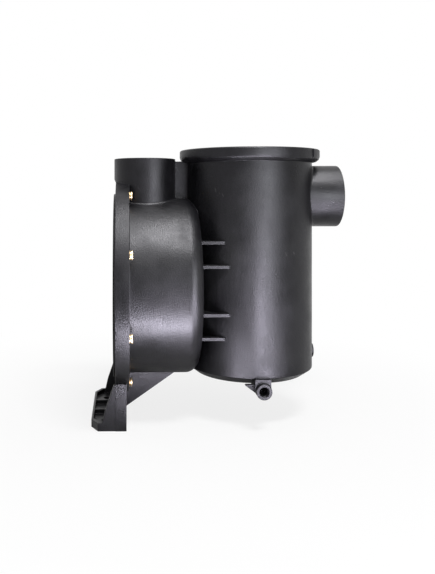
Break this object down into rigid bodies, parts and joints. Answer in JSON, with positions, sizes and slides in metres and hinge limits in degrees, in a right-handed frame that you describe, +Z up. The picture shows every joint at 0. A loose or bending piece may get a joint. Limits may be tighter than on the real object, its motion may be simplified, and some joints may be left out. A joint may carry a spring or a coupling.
{
  "type": "volute pump casing",
  "caption": "Moulded front casing of a small pool pump: round volute chamber, strainer pot, two pipe sockets, motor flange with brass inserts, foot and drain stub.",
  "frame": {"origin": "where the shaft axis crosses the back face of the motor flange", "axes": "+X along the shaft from the motor towards the strainer pot, +Z up, +Y away from the side with the drain stub"},
  "size_m": [0.2435, 0.205, 0.2608],
  "materials": {
    "black_moulding": "satin, finely grained",
    "brass": "machined"
  },
  "bodies": {
    "root": {"pump_casing": "black_moulding", "brass_inserts": "brass"}
  },
  "joints": []
}
